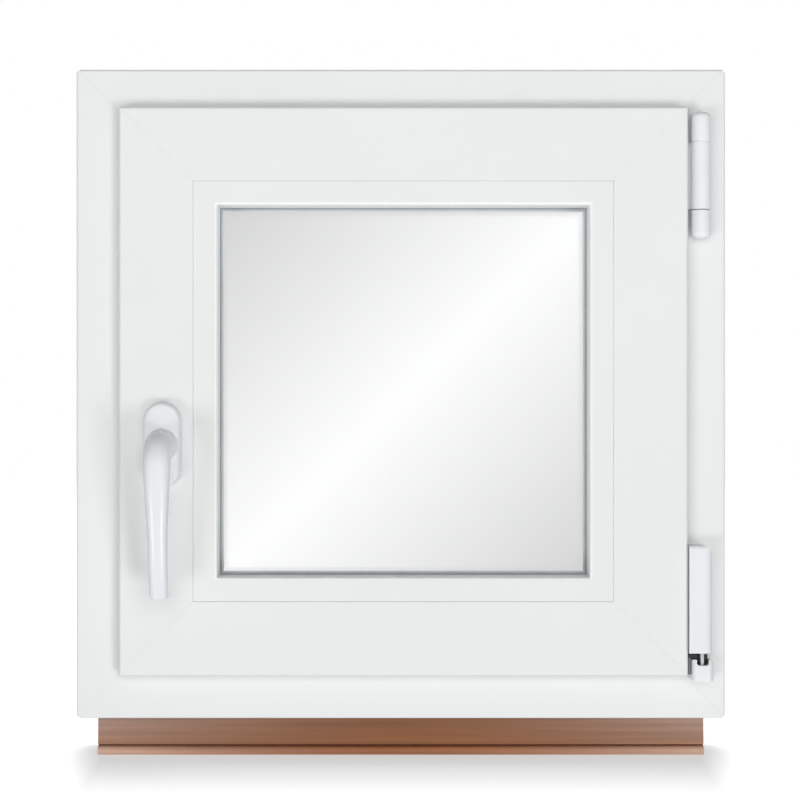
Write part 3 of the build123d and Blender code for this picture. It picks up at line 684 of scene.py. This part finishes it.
def make_pivot_bush(material):
    """Dark bush round the lower pin, open at the front, between the cup and the cover. Its black is partly painted
    shade of the recess round the pin.
    """
    low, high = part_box("lower_hinge_pin")
    axis = (low + high) / 2
    inner = (high.x - low.x) / 2 + BUSH_CLEARANCE
    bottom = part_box("lower_hinge_cup")[1].z - CUP_NOTCH_DEPTH + BUSH_LIFT
    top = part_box("lower_hinge_cover")[0].z - BUSH_TOP_GAP
    section = [
        (inner, bottom),
        (BUSH_RADIUS - BUSH_FOOT[0], bottom),
        (BUSH_RADIUS, bottom + BUSH_FOOT[1]),
        (BUSH_RADIUS, top - BUSH_CHAMFER),
        (BUSH_RADIUS - BUSH_CHAMFER, top),
        (inner, top),
    ]
    steps = 40
    rings = []
    for step in range(steps + 1):
        turn = -BUSH_OPENING - (2 * math.pi - 2 * BUSH_OPENING) * step / steps
        way = Vector((math.sin(turn), -math.cos(turn), 0))
        rings.append([Vector((axis.x, axis.y, height)) + radius * way for radius, height in section])
    link_mesh("lower_hinge_bush", *skin(rings), material, "window", "hinge_steel")
    make_pivot_arm(material, axis, top)


def make_pivot_arm(material, axis, top):
    """Dark arm from the corner bracket's leg to the bush; its black fills the shadow gap under the cover, painted
    shade.
    """
    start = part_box("lower_hinge_corner_bracket")[0].x
    stop = axis.x - BUSH_RADIUS + BUSH_CHAMFER
    front, back = axis.y - ARM_DEPTH / 2, axis.y + ARM_DEPTH / 2
    rings = []
    for across in (start, stop):
        rings.append([
            Vector((across, front, top - ARM_HEIGHT)),
            Vector((across, back, top - ARM_HEIGHT)),
            Vector((across, back, top)),
            Vector((across, front, top)),
        ])
    link_mesh("lower_hinge_arm", *skin(rings), material, "window", "hinge_steel")


def bead_opening():
    """Lowest and highest corners of the opening that the glazing beads frame."""
    low = Vector((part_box("glazing_bead_left")[1].x, 0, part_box("glazing_bead_bottom")[1].z))
    high = Vector((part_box("glazing_bead_right")[0].x, 0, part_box("glazing_bead_top")[0].z))
    return low, high


def profile_finishes():
    """Finishes of the white members, by what they belong to and the way they run."""
    finishes = {}
    for family, node in (("frame", "frame_head"), ("sash", "sash_top_rail"), ("glazing", None)):
        middle = None
        if node:
            low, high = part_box(node)
            half = (high.x - low.x) / 2
            middle = Vector((low.x + half, 0, high.z - half))
        opening = None if node else bead_opening()
        for run in ("x", "z"):
            finishes[family, run] = white_profile(f"white_{family}_{run}", run, middle, opening)
    return finishes


def set_materials():
    """Gives every solid its finish, by the record's slots and by the way that each member runs."""
    profiles = profile_finishes()
    finishes = {
        "grey_gasket": rubber("grey_seal"),
        "clear_glass": clear_glass(),
        "spacer_metal": metal("spacer_metal", SPACER_GREY, roughness=0.42),
        "white_handle": moulded_white("white_handle", HANDLE_WHITE, roughness=0.25),
        "white_hinge_cap": moulded_white("white_hinge_cap", CAP_WHITE, roughness=0.32),
        "hinge_steel": metal("hinge_steel", STEEL_GREY, roughness=0.33),
        "brown_sill": brown_sill(),
        "white_trim": moulded_white("white_trim", TRIM_WHITE, roughness=0.45),
        # the corner bracket takes the darker steel, painted shade
        "lower_hinge_corner_bracket": metal("painted_shade_steel", PAINTED_SHADE_STEEL, roughness=0.5),
        "glazing_gasket_inside": rubber("inside_gasket", "glazing_gasket_inside"),
        "glazing_gasket_outside": rubber("outside_gasket", "glazing_gasket_outside"),
    }
    for row in frame["record"]["subparts"]:
        node, slot = row["node"], row["material_slot"]
        if slot == "white_profile":
            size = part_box(node)[1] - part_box(node)[0]
            finish = profiles[node.split("_")[0], "x" if size.x > size.z else "z"]
        else:
            finish = finishes.get(node, finishes[slot])
        solid = frame["nodes"][node]
        solid.data.materials.clear()
        solid.data.materials.append(finish)
    for pane in ("inner_pane", "outer_pane"):
        frame["nodes"][pane].visible_shadow = False
    return finishes


def stage_plane(name, corners, material):
    mesh = bpy.data.meshes.new(name)
    mesh.from_pydata(corners, [], [(0, 1, 2, 3)])
    mesh.materials.append(material)
    plane = bpy.data.objects.new(name, mesh)
    bpy.context.scene.collection.objects.link(plane)
    return plane


def seen_share(tree):
    """One for rays that come to the eye, straight or by way of gloss or glass, and nought for the rest."""
    path = add_node(tree, "ShaderNodeLightPath").outputs
    direct = calculate(tree, "MAXIMUM", path["Is Camera Ray"], path["Is Glossy Ray"])
    return calculate(tree, "MAXIMUM", direct, path["Is Transmission Ray"])


def make_floor():
    """Plain pale floor: it keeps the window's soft shadow, deepened by a painted shadow where its glow is weaker
    near the window, and is white elsewhere.
    """
    material, tree, shader = new_material("stage_floor", Roughness=0.7, Specular_IOR_Level=0.2)
    shader.inputs["Base Color"].default_value = FLOOR_GREY
    across, deep, _ = offsets(tree, Vector((0, 0, 0)))
    # painted shadow: the glow is weaker close to the window and within the sill's width
    tapered = calculate(tree, "ADD", across, calculate(tree, "MULTIPLY", deep, SHADOW_TAPER))
    sideways = spread(tree, tapered, 0, 1, SHADOW_HALF_WIDTH, SHADOW_HALF_WIDTH + SHADOW_REACH)
    forward = spread(tree, deep, 0, 1, FLOOR_GLOW_START, FLOOR_GLOW_STOP)
    away = calculate(tree, "MAXIMUM", sideways, forward)
    glow_with_painted_shadow = spread(tree, away, FLOOR_GLOW_IN_PAINTED_SHADOW, FLOOR_GLOW_FAR, 0, 1)
    glow = add_node(tree, "ShaderNodeEmission", {"Strength": glow_with_painted_shadow})
    shaded = add_node(tree, "ShaderNodeAddShader", {0: shader.outputs[0], 1: glow.outputs[0]})
    even = add_node(tree, "ShaderNodeEmission", {"Strength": 1.0})
    straight = add_node(tree, "ShaderNodeLightPath").outputs["Is Camera Ray"]
    mixed = add_node(tree, "ShaderNodeMixShader", {0: straight, 1: even.outputs[0], 2: shaded.outputs[0]})
    tree.links.new(mixed.outputs[0], tree.nodes["Material Output"].inputs["Surface"])
    half, level = FLOOR_HALF, -FLOOR_DROP
    corners = [(-half, -half, level), (half, -half, level), (half, half, level), (-half, half, level)]
    floor = stage_plane("floor", corners, material)
    floor.visible_diffuse = False
    floor.visible_shadow = False
    return floor


def make_reflector_card():
    """Soft card before the window, brightest along a diagonal, that only shows in the glass."""
    material, tree, _ = new_material("stage_card")
    parts = add_node(tree, "ShaderNodeSeparateXYZ", {0: object_place(tree)}).outputs
    off_diagonal = calculate(tree, "ABSOLUTE", calculate(tree, "SUBTRACT", parts["X"], parts["Z"]))
    strength = spread(tree, off_diagonal, CARD_GLOW, 0.0, 0.0, 2 * CARD_HALF)
    glow = add_node(tree, "ShaderNodeEmission", {"Strength": strength})
    clear = add_node(tree, "ShaderNodeBsdfTransparent")
    depth = add_node(tree, "ShaderNodeLightPath").outputs["Glossy Depth"]
    reflected = calculate(tree, "GREATER_THAN", depth, 0.5)
    mixed = add_node(tree, "ShaderNodeMixShader", {0: reflected, 1: clear.outputs[0], 2: glow.outputs[0]})
    tree.links.new(mixed.outputs[0], tree.nodes["Material Output"].inputs["Surface"])
    half = CARD_HALF
    corners = [(-half, 0, -half), (half, 0, -half), (half, 0, half), (-half, 0, half)]
    card = stage_plane("reflector_card", corners, material)
    card.location = (CAMERA_PLACE.x, CARD_DEPTH, CAMERA_PLACE.z)
    for ray in ("camera", "diffuse", "shadow", "volume_scatter"):
        setattr(card, "visible_" + ray, False)


def make_world():
    """Soft light from all round, stronger from below, and plain white wherever it is seen."""
    world = bpy.data.worlds.new("studio")
    world.use_nodes = True
    tree = world.node_tree
    background = tree.nodes["Background"]
    background.inputs["Color"].default_value = (1, 1, 1, 1)
    direction = add_node(tree, "ShaderNodeTexCoord").outputs["Generated"]
    upward = add_node(tree, "ShaderNodeSeparateXYZ", {0: direction}).outputs["Z"]
    ambient = spread(tree, upward, AMBIENT_BELOW, AMBIENT_ABOVE, -AMBIENT_BLEND, AMBIENT_BLEND)
    tree.links.new(spread(tree, seen_share(tree), ambient, 1.0, 0, 1), background.inputs["Strength"])
    bpy.context.scene.world = world


def make_lamp(name, place, target, size, power):
    data = bpy.data.lights.new(name, "AREA")
    data.shape = "RECTANGLE"
    data.size, data.size_y = size
    data.energy = power
    lamp = bpy.data.objects.new(name, data)
    bpy.context.scene.collection.objects.link(lamp)
    lamp.location = place
    lamp.rotation_euler = (Vector(target) - Vector(place)).to_track_quat("-Z", "Y").to_euler()
    return lamp


def shine_only_on(lamp, pieces):
    receivers = bpy.data.collections.new(lamp.name + "_receivers")
    for piece in pieces:
        receivers.objects.link(piece)
    lamp.light_linking.receiver_collection = receivers


def make_lamps(floor):
    """Two lamps from low left and low right, a broad one in front, and two that only light what they name.

    One of those stands above and lights the floor. The other lights the members from behind.
    """
    make_lamp("low_left", LOW_LEFT_PLACE, LAMP_TARGET, LOW_LEFT_SIZE, LOW_LEFT_POWER)
    make_lamp("low_right", LOW_RIGHT_PLACE, LAMP_TARGET, LOW_RIGHT_SIZE, LOW_RIGHT_POWER)
    front = make_lamp("front", FRONT_PLACE, LAMP_TARGET, FRONT_SIZE, FRONT_POWER)
    front.visible_glossy = False
    above = make_lamp("above", ABOVE_PLACE, ABOVE_TARGET, ABOVE_SIZE, ABOVE_POWER)
    shine_only_on(above, [floor])
    behind = make_lamp("behind", BEHIND_PLACE, LAMP_TARGET, BEHIND_SIZE, BEHIND_POWER)
    for ray in ("camera", "glossy", "transmission"):
        setattr(behind, "visible_" + ray, False)
    members = [solid for node, solid in frame["nodes"].items() if node.startswith(MEMBER_NAMES)]
    shine_only_on(behind, members)


def make_camera():
    data = bpy.data.cameras.new("camera")
    data.sensor_width = SENSOR_WIDTH
    data.lens = FOCAL_PIXELS / IMAGE_SIDE * SENSOR_WIDTH
    camera = bpy.data.objects.new("camera", data)
    bpy.context.scene.collection.objects.link(camera)
    camera.location = CAMERA_PLACE
    camera.rotation_euler = (math.pi / 2, 0, 0)
    bpy.context.scene.camera = camera


bpy.context.scene.view_settings.view_transform = "Standard"
make_camera()
make_world()
make_lamps(make_floor())
make_reflector_card()
finishes = set_materials()
spindle = Vector(frame["joints"][0]["pos_m"])
make_lever(finishes["white_handle"], spindle)
make_rosette(finishes["white_handle"], spindle)
make_hinge_cap(finishes["white_hinge_cap"], "upper_hinge_top_cap", points_up=True)
make_hinge_cap(finishes["white_hinge_cap"], "upper_hinge_bottom_cap", points_up=False)
make_hinge_washer(finishes["white_hinge_cap"])
make_hinge_cup(finishes["white_hinge_cap"])
make_pivot_bush(black_bush_and_painted_shade())

bpy.context.view_layer.update()
